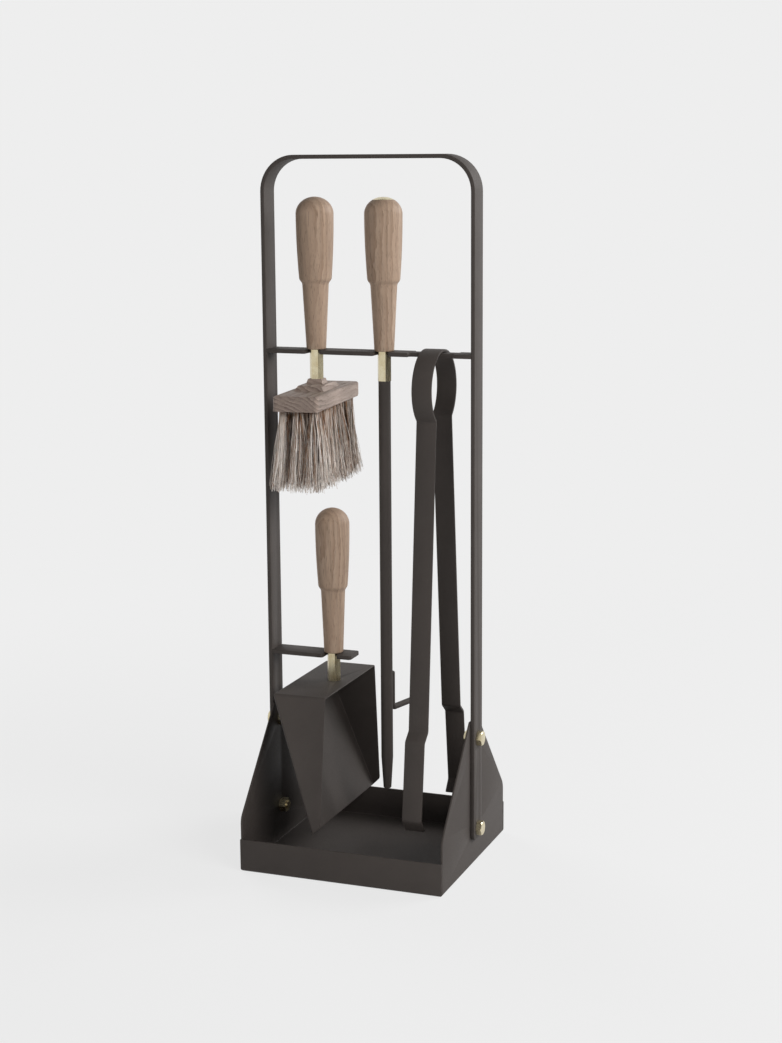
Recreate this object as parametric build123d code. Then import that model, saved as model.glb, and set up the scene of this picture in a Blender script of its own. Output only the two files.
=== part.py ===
from build123d import *
import os
from math import acos, cos, degrees, pi, radians, sin, sqrt, tan

# Fireplace tool set: a flat-bar hoop on a folded tray carries a hearth brush, a blow poker
# with a side hook, a shovel and a pair of spring tongs.
# Millimetres, +Z up, front towards -Y. The origin lies on the floor under the tray's middle.

# Tray: one sheet folded into a floor, two lips and two pointed side plates
tray_width = 212.0
tray_depth = 198.0
tray_sheet = 2.0
tray_bend = 3.0
lip_height = 33.0
shoulder_height = 54.0
shoulder_round = 16.0
plate_gap = 52.0
corner_seam = 0.4

# Hoop and rails: flat bar of one section
bar_width = 25.0
bar_thickness = 4.0
stand_height = 700.0
hoop_corner = 35.0
hoop_end = 26.5
hoop_end_round = 8.0
shovel_rail_reach = 23.0
rail_end_round = 3.0
slot_mouth_round = 2.5
seat_width = 46.0
seat_depth = 14.0
seat_round = 2.0

# Bolts and nuts that hold the hoop to the side plates
bolt_diameter = 8.0
bolt_flats = 13.0
bolt_head = 5.3
bolt_chamfer = 0.9
bolt_tail = 1.5
nut_height = 6.5
bolt_low = 38.0
bolt_inset = 19.0
bolt_hole_clearance = 0.2
thread_clearance = 0.05

# Places of the tools: insets from the sides, gaps above and below them
brush_inset = 48.0
brush_turn = 5.0
poker_x = 13.5
shovel_inset = 62.5
tongs_inset = 41.0
hand_gap = 36.0
brush_gap = 26.0
pan_clearance = 40.5
poker_clearance = 69.0

# Brass necks and the handles that they carry
neck_flats = 12.0
neck_length = 29.0
neck_clearance = 0.4
tenon_diameter = 8.0
tenon_length = 35.0
tenon_clearance = 0.1
handle_length = 148.0
handle_dome = 16.5
dome_flat = 1.0
step_height = 62.5
step_slope = 8.0
foot_round = 1.5
foot_land = 0.9
bulb_diameter = 37.0
shoulder_diameter = 32.2
waist_diameter = 25.9
shovel_bulb_diameter = 34.4
shovel_shoulder_diameter = 29.8
shovel_waist_diameter = 24.2

# Brush
block_width = 45.5
block_length = 140.0
block_height = 15.0
block_corner = 4.0
block_edge = 2.4
plinth_height = 5.0
plinth_width = 23.5
plinth_length = 47.0
plinth_bevel = 3.5
collar_height = 5.0
collar_width = 14.0
collar_bevel = 1.5
block_tenon = 12.0
tuft_slice = 2.0
tuft_columns = 3
tuft_rows = 7
tuft_margin_x = 7.5
tuft_margin_y = 12.0
tuft_radius = 4.2
strands_per_tuft = 18
strand_size = 0.7
strand_root = 1.0
bristle_length = 78.0
bristle_ragged = 3.0
row_flare = 1.1
tuft_flare = 1.7

# Poker: a tube to blow through, with a hook at its side
tube_diameter = 12.0
tube_wall = 2.0
tip_length = 33.0
tip_diameter = 8.0
tip_chamfer = 0.8
nozzle_bore = 4.0
spigot_length = 25.0
air_bore = 5.0
mouthpiece_diameter = 20.5
mouthpiece_seat = 1.5
mouthpiece_dish = 1.2
mouthpiece_spigot = 10.0
mouthpiece_spigot_length = 12.0
hook_bar = 6.0
hook_leg = 38.0
hook_height = 151.0
hook_reach = 55.0
hook_bend = 5.0
hook_turn = 75.0
hook_end_round = 1.5
weld_gap = 0.1

# Shovel: a pan folded from thin sheet, hanging with its back wall on top
pan_sheet = 1.5
pan_back = 56.5
pan_back_length = 136.0
pan_lip_inset = 9.5
pan_lip_length = 168.0
pan_wall_end = 8.5
pan_corner_round = 5.0
pan_fold = 2.5
pan_neck_inset = 18.0
screw_diameter = 6.0
screw_head = 11.0
screw_head_height = 3.5
screw_length = 18.0

# Tongs: one spring strip, a loop over the rail and two legs
strip_width = 20.0
strip_thickness = 2.5
bow_width = 76.0
bow_neck = 48.0
bow_rest = 0.3
bow_tail = 4.0
neck_bend = 3.0
flex_gap = 0.4
leg_slope = 5.0
knee_height = 147.0
joggle_out = 10.5
joggle_drop = 8.5
joggle_bend = 4.0
foot_height = 62.0
foot_slope = 7.0
toe_in = 9.0
toe_drop = 12.0
toe_bend = 5.0

# Derived places and fits
half_width = tray_width / 2
half_depth = tray_depth / 2
bar_outside = half_width + bar_thickness
slot_radius = neck_flats / sqrt(3) + neck_clearance
foot_diameter = 2 * (slot_radius + foot_land + foot_round)
tube_bore = tube_diameter - 2 * tube_wall
brush_x = brush_inset - half_width
shovel_x = shovel_inset - half_width
tongs_x = half_width - tongs_inset
tool_rail_height = stand_height - bar_thickness - hand_gap - handle_length
neck_end = tool_rail_height - neck_length
block_top = neck_end - collar_height - plinth_height
block_bottom = block_top - block_height
shovel_rail_height = block_bottom - bristle_length - brush_gap - handle_length
plate_top = shovel_rail_height - bar_thickness - plate_gap
bolt_high = plate_top - bolt_inset
pan_top = shovel_rail_height - neck_length
pan_drop = pan_top - pan_clearance
tube_length = neck_end - poker_clearance


def sheet_strip(line, thickness, width, plane):
    """A strip of even thickness that follows a line, as wide on both sides of its plane."""
    return extrude(plane * trace(line, thickness), width / 2, both=True)


def upright_cylinder(x, y, z, diameter, length):
    """A cylinder that stands on (x, y, z)."""
    return extrude(Pos(x, y, z) * Circle(diameter / 2), length)


def tapered_block(width, length, height, bevel):
    """A block whose four sides lean in by the bevel, seen from its larger base."""
    base = Rectangle(width + 2 * bevel, length + 2 * bevel)
    top = Pos(0, 0, height) * Rectangle(width, length)
    return loft([base.face(), top.face()])


def bolt_axes():
    """Planes on the hoop's outer faces, facing outward at each bolt."""
    axes = []
    for side in (-1, 1):
        for height in (bolt_low, bolt_high):
            axes.append(Plane((side * bar_outside, 0, height), x_dir=(0, 1, 0), z_dir=(side, 0, 0)))
    return axes


def bolt_holes():
    """Clearance holes through the hoop and the side plates."""
    radius = bolt_diameter / 2 + bolt_hole_clearance
    depth = bar_thickness + tray_sheet
    return [extrude(axis * Circle(radius), -2 * depth) for axis in bolt_axes()]


def folded_box(width, depth, bottom, bend):
    """Block up to the plates' top, rounded where the sheet folds up from the floor."""
    block = Box(width, depth, plate_top - bottom, align=(Align.CENTER, Align.CENTER, Align.MIN))
    return Pos(0, 0, bottom) * fillet(block.faces().sort_by(Axis.Z)[0].edges(), bend)


def make_tray():
    """Low lips front and rear, tall shouldered plates at the sides, open seams at the corners."""
    inside_width = tray_width - 2 * tray_sheet
    inside_depth = tray_depth - 2 * tray_sheet
    tray = folded_box(tray_width, tray_depth, 0, tray_bend)
    tray -= folded_box(inside_width, inside_depth, tray_sheet, tray_bend - tray_sheet)

    plate_end = inside_depth / 2 - corner_seam
    outline = Polygon(
        (-plate_end, lip_height / 2),
        (plate_end, lip_height / 2),
        (plate_end, shoulder_height),
        (bar_width / 2, plate_top),
        (-bar_width / 2, plate_top),
        (-plate_end, shoulder_height),
        align=None,
    )
    corners = [(side * plate_end, shoulder_height) for side in (-1, 1)]
    shoulders = [outline.vertices().sort_by_distance(corner)[0] for corner in corners]
    plates = extrude(Plane.YZ * fillet(shoulders, shoulder_round), tray_width, both=True)
    tray &= plates + Box(2 * tray_width, 2 * tray_depth, 2 * lip_height)

    seam = Box(2 * tray_sheet, corner_seam, 2 * (lip_height - tray_bend))
    seam_place = plate_end + corner_seam / 2
    for side in (-1, 1):
        for facing in (-1, 1):
            tray -= Pos(side * half_width, facing * seam_place, lip_height) * seam
    return tray - bolt_holes()


def make_hoop():
    """Flat bar bent over two corners, its lower ends rounded off."""
    side = half_width + bar_thickness / 2
    top = stand_height - bar_thickness / 2
    line = FilletPolyline(
        (-side, hoop_end), (-side, top), (side, top), (side, hoop_end),
        radius=hoop_corner - bar_thickness / 2,
    )
    hoop = sheet_strip(line, bar_thickness, bar_width, Plane.XZ)
    ends = hoop.edges().filter_by(Axis.X).group_by(Axis.Z)[0]
    return fillet(ends, hoop_end_round) - bolt_holes()


def slot_cut(x):
    """Plan of a front-open slot with a half-round end about a neck."""
    reach = bar_width
    return Pos(x, 0) * (Circle(slot_radius) + Pos(0, -reach / 2) * Rectangle(2 * slot_radius, reach))


def round_slot_mouths(plan):
    """Round the two front corners of each slot."""
    front = plan.vertices().group_by(Axis.Y)[0].sort_by(Axis.X)
    return fillet(front[1:-1], slot_mouth_round)


def make_tool_rail():
    """Cross bar with a slot for brush and poker and a narrowed seat for the tongs."""
    plan = Rectangle(tray_width, bar_width) - slot_cut(brush_x) - slot_cut(poker_x)
    plan = round_slot_mouths(plan)
    cut = (bar_width - seat_depth) / 2
    recess = RectangleRounded(seat_width, 2 * cut, seat_round)
    for side in (-1, 1):
        plan -= Pos(tongs_x, side * bar_width / 2) * recess
    return extrude(Pos(0, 0, tool_rail_height) * plan, -bar_thickness)


def make_shovel_rail():
    """Short bar from the left upright, with one slot and a rounded free end."""
    free_end = shovel_x + shovel_rail_reach
    length = free_end + half_width
    plan = Pos(free_end - length / 2, 0) * Rectangle(length, bar_width) - slot_cut(shovel_x)
    plan = round_slot_mouths(plan)
    plan = fillet(plan.vertices().group_by(Axis.X)[-1], rail_end_round)
    return extrude(Pos(0, 0, shovel_rail_height) * plan, -bar_thickness)


def hexagon(flats):
    """Hexagon with two flats facing front and back."""
    return RegularPolygon(flats / 2, 6, major_radius=False)


def make_bolts():
    """Hexagon bolts with a turned-off outer face."""
    grip = bar_thickness + tray_sheet + nut_height + bolt_tail
    blank = Cylinder(bolt_flats / sqrt(3), bolt_head, align=(Align.CENTER, Align.CENTER, Align.MIN))
    blank = chamfer(blank.edges().group_by(Axis.Z)[-1], bolt_chamfer)
    head = extrude(hexagon(bolt_flats), bolt_head) & blank
    bolt = head + extrude(Circle(bolt_diameter / 2), -grip)
    return Compound([(axis.location * bolt).solid() for axis in bolt_axes()])


def make_nuts():
    """Nuts against the inner faces of the side plates."""
    start = -(bar_thickness + tray_sheet)
    nut = hexagon(bolt_flats) - Circle(bolt_diameter / 2 + thread_clearance)
    nut = extrude(Pos(0, 0, start) * nut, -nut_height)
    return Compound([(axis.location * nut).solid() for axis in bolt_axes()])


def handle_body(bulb, shoulder, waist):
    """Turned grip: a narrow foot, a rounded step and a barrel that ends in a dome."""
    foot = foot_diameter / 2
    dome_start = handle_length - handle_dome
    dome_arc = degrees(acos(2 * dome_flat / bulb))
    below = (waist / 2, step_height)
    middle = ((waist + shoulder) / 4, step_height + step_slope / 2)
    above = (shoulder / 2, step_height + step_slope)
    foot_arc = TangentArc((foot - foot_round, 0), (foot, foot_round), tangent=(1, 0))
    lower = Line(foot_arc @ 1, below)
    hollow = TangentArc(below, middle, tangent=(0, 1))
    round_over = TangentArc(middle, above, tangent=hollow % 1)
    barrel = TangentArc((bulb / 2, dome_start), above, tangent=(0, -1))
    dome = EllipticalCenterArc((0, dome_start), bulb / 2, handle_dome, start_angle=0, arc_size=dome_arc)
    axis = Polyline(dome @ 1, (0, (dome @ 1).Y), (0, 0), (foot - foot_round, 0))
    profile = make_face([foot_arc, lower, hollow, round_over, barrel, dome, axis])
    return revolve(Plane.XZ * profile, Axis.Z)


def tenon_hole():
    """Hole for the neck's tenon, from the foot of a handle."""
    return upright_cylinder(0, 0, 0, tenon_diameter + 2 * tenon_clearance, tenon_length)


def neck_body():
    """Hexagon neck below the rail's top face, with a tenon up into the handle."""
    return extrude(hexagon(neck_flats), -neck_length) + extrude(Circle(tenon_diameter / 2), tenon_length)


def make_brush_block():
    """Block with a bevelled plinth and collar, less the slice that holds the tufts."""
    height = block_height - tuft_slice
    body = extrude(RectangleRounded(block_width, block_length, block_corner), height)
    body = fillet(body.edges().group_by(Axis.Z)[-1], block_edge)
    plinth = Pos(0, 0, height) * tapered_block(plinth_width, plinth_length, plinth_height, plinth_bevel)
    collar_base = height + plinth_height
    collar = Pos(0, 0, collar_base) * tapered_block(collar_width, collar_width, collar_height, collar_bevel)
    top = collar_base + collar_height
    hole = upright_cylinder(0, 0, top, tenon_diameter + 2 * tenon_clearance, -block_tenon - tenon_clearance)
    block = body + plinth + collar - hole
    return Pos(brush_x, 0, block_bottom + tuft_slice) * Rot(0, 0, brush_turn) * block


def make_brush_neck():
    """Neck with a second tenon down into the block."""
    tenon = upright_cylinder(0, 0, -neck_length, tenon_diameter, -block_tenon)
    return Pos(brush_x, 0, tool_rail_height) * Rot(0, 0, brush_turn) * (neck_body() + tenon)


def strand(root, tip):
    """One straight three-sided bristle from its root to its tip."""
    section = Pos(*root) * RegularPolygon(strand_size, 3)
    return Solid.extrude(section.face(), Vector(*tip) - Vector(*root))


def make_bristles():
    """Rows of tufts that spread evenly as they go down, so that no two strands meet."""
    golden = pi * (3 - sqrt(5))
    pitch_x = (block_width - 2 * tuft_margin_x) / (tuft_columns - 1)
    pitch_y = (block_length - 2 * tuft_margin_y) / (tuft_rows - 1)
    strands = []
    for column in range(tuft_columns):
        for row in range(tuft_rows):
            tuft_x = (column - (tuft_columns - 1) / 2) * pitch_x
            tuft_y = (row - (tuft_rows - 1) / 2) * pitch_y
            for i in range(strands_per_tuft):
                radius = tuft_radius * sqrt((i + 0.5) / strands_per_tuft)
                dx = radius * cos(i * golden + column)
                dy = radius * sin(i * golden + column)
                trim = bristle_ragged * ((7 * i + 3 * row + column) % 5) / 4
                root = (tuft_x + dx, tuft_y + dy, strand_root)
                tip_x = row_flare * tuft_x + tuft_flare * dx
                tip_y = row_flare * tuft_y + tuft_flare * dy
                strands.append(strand(root, (tip_x, tip_y, trim - bristle_length)))
    backing = extrude(RectangleRounded(block_width, block_length, block_corner), tuft_slice)
    backing = chamfer(backing.edges().group_by(Axis.Z)[0], tuft_slice / 2)
    return Pos(brush_x, 0, block_bottom) * Rot(0, 0, brush_turn) * backing.solid().fuse(*strands)


def rim_height():
    """Height on the poker's handle at which the mouthpiece comes out of the dome."""
    share = mouthpiece_diameter / bulb_diameter
    return handle_length - handle_dome * (1 - sqrt(1 - share ** 2))


def make_poker_handle():
    """Handle bored right through, with a seat in its dome for the mouthpiece."""
    body = handle_body(bulb_diameter, shoulder_diameter, waist_diameter)
    base = rim_height() - mouthpiece_seat
    seat_diameter = mouthpiece_diameter + 2 * tenon_clearance
    spigot_hole = mouthpiece_spigot + 2 * tenon_clearance
    body -= upright_cylinder(0, 0, base, seat_diameter, handle_length)
    body -= upright_cylinder(0, 0, base, spigot_hole, -mouthpiece_spigot_length)
    body -= upright_cylinder(0, 0, 0, air_bore, handle_length)
    return Pos(poker_x, 0, tool_rail_height) * (body - tenon_hole())


def make_mouthpiece():
    """Brass inlay that carries the dome on, with a spigot and a dished air bore."""
    base = rim_height() - mouthpiece_seat
    body = handle_body(bulb_diameter, shoulder_diameter, waist_diameter)
    disc = body & upright_cylinder(0, 0, base, mouthpiece_diameter, handle_length)
    spigot = upright_cylinder(0, 0, base, mouthpiece_spigot, -mouthpiece_spigot_length)
    bore = upright_cylinder(0, 0, 0, air_bore, 2 * handle_length)
    piece = disc + spigot - bore
    lead = piece.edges().sort_by(Axis.Z)[-1]
    return Pos(poker_x, 0, tool_rail_height) * chamfer(lead, mouthpiece_dish)


def make_poker_neck():
    """Neck drilled for the air, with a spigot down into the tube."""
    spigot_diameter = tube_bore - 2 * tenon_clearance
    spigot = upright_cylinder(0, 0, -neck_length, spigot_diameter, -spigot_length)
    bore = upright_cylinder(0, 0, -neck_length - spigot_length, air_bore, 3 * tenon_length)
    return Pos(poker_x, 0, tool_rail_height) * (neck_body() + spigot - bore)


def make_tube():
    """Tube with a tapered tip and a narrow nozzle."""
    outer = tube_diameter / 2
    inner = tube_bore / 2
    tip = tip_diameter / 2
    profile = Polygon(
        (inner, 0),
        (outer, 0),
        (outer, tip_length - tube_length),
        (tip, tip_chamfer - tube_length),
        (tip - tip_chamfer, -tube_length),
        (nozzle_bore / 2, -tube_length),
        (nozzle_bore / 2, tip_length - tube_length),
        (inner, tip_length - tube_length + inner),
        align=None,
    )
    return Pos(poker_x, 0, neck_end) * revolve(Plane.XZ * profile, Axis.Z)


def make_hook():
    """Round bar with its leg along the tube and its arm pointing to the rear."""
    start = tube_diameter / 2 + hook_bar / 2 + weld_gap
    line = FilletPolyline(
        (start, hook_height + hook_leg), (start, hook_height), (hook_reach, hook_height),
        radius=hook_bend,
    )
    path = Plane.XZ * line
    section = Plane(path @ 0, z_dir=path % 0) * Circle(hook_bar / 2)
    bar = sweep(section, path)
    ends = [bar.faces().sort_by(Axis.Z)[-1], bar.faces().sort_by(Axis.X)[-1]]
    bar = fillet([end.edge() for end in ends], hook_end_round)
    return Pos(poker_x, 0, 0) * Rot(0, 0, hook_turn) * bar


def make_pan():
    """Pan with a back wall on top, a leaning floor, two side walls and an open side."""
    open_x = pan_neck_inset
    back_x = open_x - pan_back
    lip_x = open_x - pan_lip_inset
    lip_z = -pan_drop
    wall_x = lip_x + pan_wall_end
    side = Polygon(
        (back_x, 0), (open_x, 0), (wall_x, lip_z + pan_wall_end), (lip_x, lip_z), align=None
    )
    corner = side.vertices().sort_by_distance((wall_x, lip_z + pan_wall_end))[0]
    side = fillet(corner, pan_corner_round)
    ends = Polygon(
        (-pan_back_length / 2, 0),
        (pan_back_length / 2, 0),
        (pan_lip_length / 2, lip_z),
        (-pan_lip_length / 2, lip_z),
        align=None,
    )
    block = extrude(Plane.XZ * side, pan_lip_length, both=True)
    block &= extrude(Plane.YZ * ends, pan_back, both=True)
    mouth = [face for face in block.faces() if is_pan_mouth(face, back_x)]
    folds = [edge for edge in block.edges() if not touches(edge, mouth)]
    block = fillet(folds, pan_fold)
    mouth = [face for face in block.faces() if is_pan_mouth(face, back_x)]
    pan = offset(block, -pan_sheet, openings=mouth)
    pan -= upright_cylinder(0, 0, pan_sheet, screw_diameter + 2 * tenon_clearance, -4 * pan_sheet)
    return Pos(shovel_x, 0, pan_top) * pan


def is_pan_mouth(face, back_x):
    """Whether a face of the pan's outer form belongs to its open side."""
    normal = face.normal_at()
    return normal.X > 0.3 and abs(normal.Y) < 0.01 and face.center().X > back_x + pan_back / 2


def touches(edge, faces):
    """Whether an edge bounds one of the faces."""
    middle = edge @ 0.5
    return any(face.distance_to(middle) < 0.001 for face in faces)


def make_shovel_neck():
    """Neck with a tapped hole for the pan's screw."""
    depth = screw_length
    hole = upright_cylinder(0, 0, -neck_length, screw_diameter + 2 * thread_clearance, depth)
    return Pos(shovel_x, 0, shovel_rail_height) * (neck_body() - hole)


def make_screw():
    """Screw from inside the pan up into the neck."""
    head = upright_cylinder(0, 0, -pan_sheet, screw_head, -screw_head_height)
    head = fillet(head.edges().group_by(Axis.Z)[0], screw_head_height / 3)
    shank = upright_cylinder(0, 0, -pan_sheet, screw_diameter, screw_length)
    return Pos(shovel_x, 0, pan_top) * (head + shank)


def bow_centre():
    """Height of the loop's middle when it rests on the edges of the rail's seat."""
    inner = bow_width / 2 - strip_thickness
    return tool_rail_height + bow_rest - sqrt(inner ** 2 - (seat_depth / 2) ** 2)


def neck_point(below):
    """Place on one leg's line, that far below the corner of the loop's neck."""
    radius = (bow_width - strip_thickness) / 2
    half = (bow_neck - strip_thickness) / 2
    corner = bow_centre() - sqrt(radius ** 2 - half ** 2)
    slope = radians(leg_slope)
    return half + below * sin(slope), corner - below * cos(slope)


def make_bow():
    """Loop of the strip: most of a circle over the rail, bent sharply into two tails."""
    radius = (bow_width - strip_thickness) / 2
    corner_y, corner_z = neck_point(0)
    tail_y, tail_z = neck_point(bow_tail)
    swing = degrees(acos(corner_y / radius))
    over = CenterArc((0, bow_centre()), radius, -swing, 180 + 2 * swing)
    tails = [Line((side * corner_y, corner_z), (side * tail_y, tail_z)) for side in (-1, 1)]
    line = Wire([tails[0].edge(), over.edge(), tails[1].edge()])
    corners = [line.vertices().sort_by_distance((side * corner_y, corner_z))[0] for side in (-1, 1)]
    line = line.fillet_2d(neck_bend, corners)
    return Pos(tongs_x, 0, 0) * sheet_strip(line, strip_thickness, strip_width, Plane.YZ)


def make_leg(side):
    """One leg: straight to a joggle, then on to a foot with its toe turned in."""
    start, top = neck_point(bow_tail + flex_gap)
    knee = start + (top - knee_height) * tan(radians(leg_slope))
    below = knee + joggle_out
    below_height = knee_height - joggle_drop
    ankle = below + (below_height - foot_height) * tan(radians(foot_slope))
    points = [
        (start, top),
        (knee, knee_height),
        (below, below_height),
        (ankle, foot_height),
        (ankle - toe_in, foot_height - toe_drop),
    ]
    line = FilletPolyline(
        *[(side * y, z) for y, z in points], radius=[joggle_bend, joggle_bend, toe_bend]
    )
    return Pos(tongs_x, 0, 0) * sheet_strip(line, strip_thickness, strip_width, Plane.YZ)


def make_handle(x, rail_height, bulb, shoulder, waist):
    """Handle of the brush or the shovel, standing on its rail."""
    return Pos(x, 0, rail_height) * (handle_body(bulb, shoulder, waist) - tenon_hole())


pieces = {
    "base_tray": make_tray(),
    "frame_hoop": make_hoop(),
    "tool_rail": make_tool_rail(),
    "shovel_rail": make_shovel_rail(),
    "frame_bolts": make_bolts(),
    "frame_nuts": make_nuts(),
    "brush_handle": make_handle(
        brush_x, tool_rail_height, bulb_diameter, shoulder_diameter, waist_diameter
    ),
    "brush_neck": make_brush_neck(),
    "brush_block": make_brush_block(),
    "brush_bristles": make_bristles(),
    "poker_handle": make_poker_handle(),
    "poker_mouthpiece": make_mouthpiece(),
    "poker_neck": make_poker_neck(),
    "poker_tube": make_tube(),
    "poker_hook": make_hook(),
    "shovel_handle": make_handle(
        shovel_x, shovel_rail_height,
        shovel_bulb_diameter, shovel_shoulder_diameter, shovel_waist_diameter,
    ),
    "shovel_neck": make_shovel_neck(),
    "shovel_screw": make_screw(),
    "shovel_pan": make_pan(),
    "tongs_bow": make_bow(),
    "tongs_front_leg": make_leg(-1),
    "tongs_rear_leg": make_leg(1),
}

os.makedirs("parts", exist_ok=True)
for name, piece in pieces.items():
    export_step(piece, f"parts/{name}.step")
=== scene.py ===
import math
import random

import bmesh
import bpy
from bpy.props import FloatProperty, FloatVectorProperty, IntProperty, PointerProperty
from mathutils import Matrix, Vector


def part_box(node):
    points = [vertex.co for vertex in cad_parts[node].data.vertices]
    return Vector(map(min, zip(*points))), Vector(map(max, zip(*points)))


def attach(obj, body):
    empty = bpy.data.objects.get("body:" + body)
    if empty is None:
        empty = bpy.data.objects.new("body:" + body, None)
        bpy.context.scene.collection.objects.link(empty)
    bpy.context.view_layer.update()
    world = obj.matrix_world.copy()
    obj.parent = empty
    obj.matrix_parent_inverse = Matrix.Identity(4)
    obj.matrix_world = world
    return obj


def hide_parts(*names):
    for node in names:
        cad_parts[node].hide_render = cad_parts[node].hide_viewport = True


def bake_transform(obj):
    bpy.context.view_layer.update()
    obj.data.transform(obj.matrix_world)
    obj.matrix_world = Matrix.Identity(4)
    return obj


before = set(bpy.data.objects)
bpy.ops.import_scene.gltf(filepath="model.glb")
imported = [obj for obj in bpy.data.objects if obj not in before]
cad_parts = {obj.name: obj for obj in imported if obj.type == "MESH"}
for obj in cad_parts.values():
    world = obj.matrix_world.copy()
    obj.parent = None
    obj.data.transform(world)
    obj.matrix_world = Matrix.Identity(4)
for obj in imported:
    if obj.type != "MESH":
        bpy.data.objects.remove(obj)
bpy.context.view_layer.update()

bl_info = {
    "name": "Hearth Tool Set",
    "version": (1, 0, 0),
    "blender": (4, 5, 0),
    "location": "View3D > Sidebar > Hearth",
    "description": "Finishes, brush, tongs and studio for a stand of fireplace tools",
    "category": "Object",
}

COATED_NODES = (
    "base_tray",
    "frame_hoop",
    "tool_rail",
    "shovel_rail",
    "poker_tube",
    "poker_hook",
    "shovel_pan",
    "tongs_bow",
    "tongs_front_leg",
    "tongs_rear_leg",
)
EASED_NODES = {
    "stand": ("base_tray", "frame_hoop", "tool_rail", "shovel_rail"),
    "shovel": ("shovel_pan",),
}
BRASS_NODES = (
    "frame_bolts",
    "frame_nuts",
    "brush_neck",
    "poker_neck",
    "poker_mouthpiece",
    "shovel_neck",
)
HANDLE_NODES = ("brush_handle", "poker_handle", "shovel_handle")

# Coat: how far its roughness strays to either side
COAT_UNEVEN = 0.06

# Wood: wander of the year rings, place of the heart and reach of the end grain, in metres
HANDLE_WANDER = 0.02
HANDLE_TILT = (0.02, 0.03, 0.0)
HANDLE_HEART = (0.05, 0.09, 0.0)
BLOCK_WANDER = 0.026
BLOCK_HEART = (0.095, 0.385, 0.0)
BLOCK_END_SHADE = 0.74
MIDDLE_PALE = 0.55
MIDDLE_DARK = 0.45
END_GRAIN_START = 0.0016
END_GRAIN_FULL = 0.0004

# Locks of bristles in a tuft: lean and bow are standard deviations in metres
SEED = 7
GOLDEN_ANGLE = math.pi * (3 - math.sqrt(5))
LOCK_REACH = 0.72  # share of the tuft's radius that the locks fill
LOCK_JITTER = 0.6  # radians round the tuft
LOCK_SPLAY = 1.2  # lean for each metre from the tuft's middle
LOCK_LEAN = 0.0016
LOCK_BOW = 0.0012
LOCK_SHADE = 0.57
LOCK_SHADE_SPREAD = 0.08

# Strands in a lock: lean, bow and crimp are standard deviations in metres
STRAND_CUTS = 9
STRAND_SHORTER = 0.13  # share of the length that the shortest strand lacks
STRAND_SHORTER_POWER = 1.6  # the higher it is, the fewer strands are short
STRAND_SPREAD = 0.5  # share of the tuft's radius that a lock's strands fill
STRAND_SPLAY = 0.9  # lean for each metre from the lock's middle
STRAND_LEAN = 0.0016
STRAND_BOW = 0.0009
STRAND_CRIMP = 0.0005
STRAND_GIRTH = (0.7, 1.15)  # least and greatest share of the set thickness
STRAND_TAPER = 0.5  # share of its thickness that a strand loses by its tip
STRAND_CURVE = 1.15  # power with which the lean grows on the way down
STRAND_WAVES = 2.2  # ripples along a strand
STRAND_SHADE_SPREAD = 0.38
# Painted shade at the roots, standing in for the shadow that the tufts cast on each other
ROOT_PAINTED_SHADE = 0.5  # share of the shade that is lost at the root
ROOT_FADE_POWER = 3

# Meshes: faces closer than the flat angle are one face, and edges past the sharp angle are eased
FLAT_ANGLE = math.radians(0.5)
SHARP_ANGLE = math.radians(40)
SMOOTH_ANGLE = math.radians(35)
STRIP_SMOOTH_ANGLE = math.radians(30)
SAME_PLACE = 0.00001
LEVEL = 0.9  # upright share of a normal, past which its face counts as level

# Studio: each lamp's place, the point it faces, its width and height, and whether gloss mirrors it
LAMPS = {
    "key": ((1.8, 1.3, 1.4), (0.0, 0.0, 0.35), (1.3, 1.1), True),
    "side": ((1.95, -1.05, 1.5), (0.0, 0.0, 0.3), (1.6, 1.2), False),
    "fill": ((-0.3, -2.7, 0.16), (0.0, 0.0, 0.16), (3.0, 0.3), False),
    "rear": ((-2.1, 1.5, 0.8), (0.0, 0.0, 0.35), (1.6, 1.0), False),
}
FLAG_PLACE = (1.3, -0.05, 0.38)
FLAG_SIZE = (0.76, 2.1, 1.0)
FLOOR_SIZE = 24.0
FLOOR_HEIGHT = -0.0005
FLOOR_GLOW = 0.86
SENSOR_WIDTH = 36.0
FAR_CLIP = 100.0

# Sockets of a Mix node that mixes colours: factor, first colour, second colour, and the result
MIX_INPUTS = (0, 6, 7)
MIX_RESULT = 2


def colour(name, description, default):
    """A colour that a user can change, in linear values."""
    return FloatVectorProperty(
        name=name, description=description, default=default, subtype="COLOR", min=0, max=1
    )


def distance(name, description, default):
    """A length that a user can change, in metres."""
    return FloatProperty(
        name=name, description=description, default=default, subtype="DISTANCE", unit="LENGTH", min=0
    )


def fraction(name, description, default):
    """A number from none to all that a user can change."""
    return FloatProperty(
        name=name, description=description, default=default, subtype="FACTOR", min=0, max=1
    )


def amount(name, description, default):
    """A strength or power that a user can change."""
    return FloatProperty(name=name, description=description, default=default, min=0)


def count(name, description, default):
    """A whole number that a user can change."""
    return IntProperty(name=name, description=description, default=default, min=1)


def angle(name, description, default):
    """An angle that a user can change, given in degrees."""
    return FloatProperty(
        name=name, description=description, default=math.radians(default), subtype="ANGLE"
    )


def location(name, description, default):
    """A place that a user can change, in metres."""
    return FloatVectorProperty(
        name=name, description=description, default=default, subtype="TRANSLATION"
    )


class HearthCoatSettings(bpy.types.PropertyGroup):
    """Powder coat of the steel"""

    tone: colour("Tone", "Colour of the coat", (0.046, 0.0386, 0.0346))
    roughness: fraction("Roughness", "How matt the coat is", 0.64)
    grain: distance("Grain", "Size of the coat's fine texture", 0.0009)
    edge: distance("Edge", "Width of the eased edges of bars and sheets", 0.0005)


class HearthBrassSettings(bpy.types.PropertyGroup):
    """Brass of the necks, bolts, nuts and the mouthpiece"""

    tone: colour("Tone", "Colour of the metal", (0.74, 0.67, 0.47))
    roughness: fraction("Roughness", "How matt the metal is", 0.28)


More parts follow.
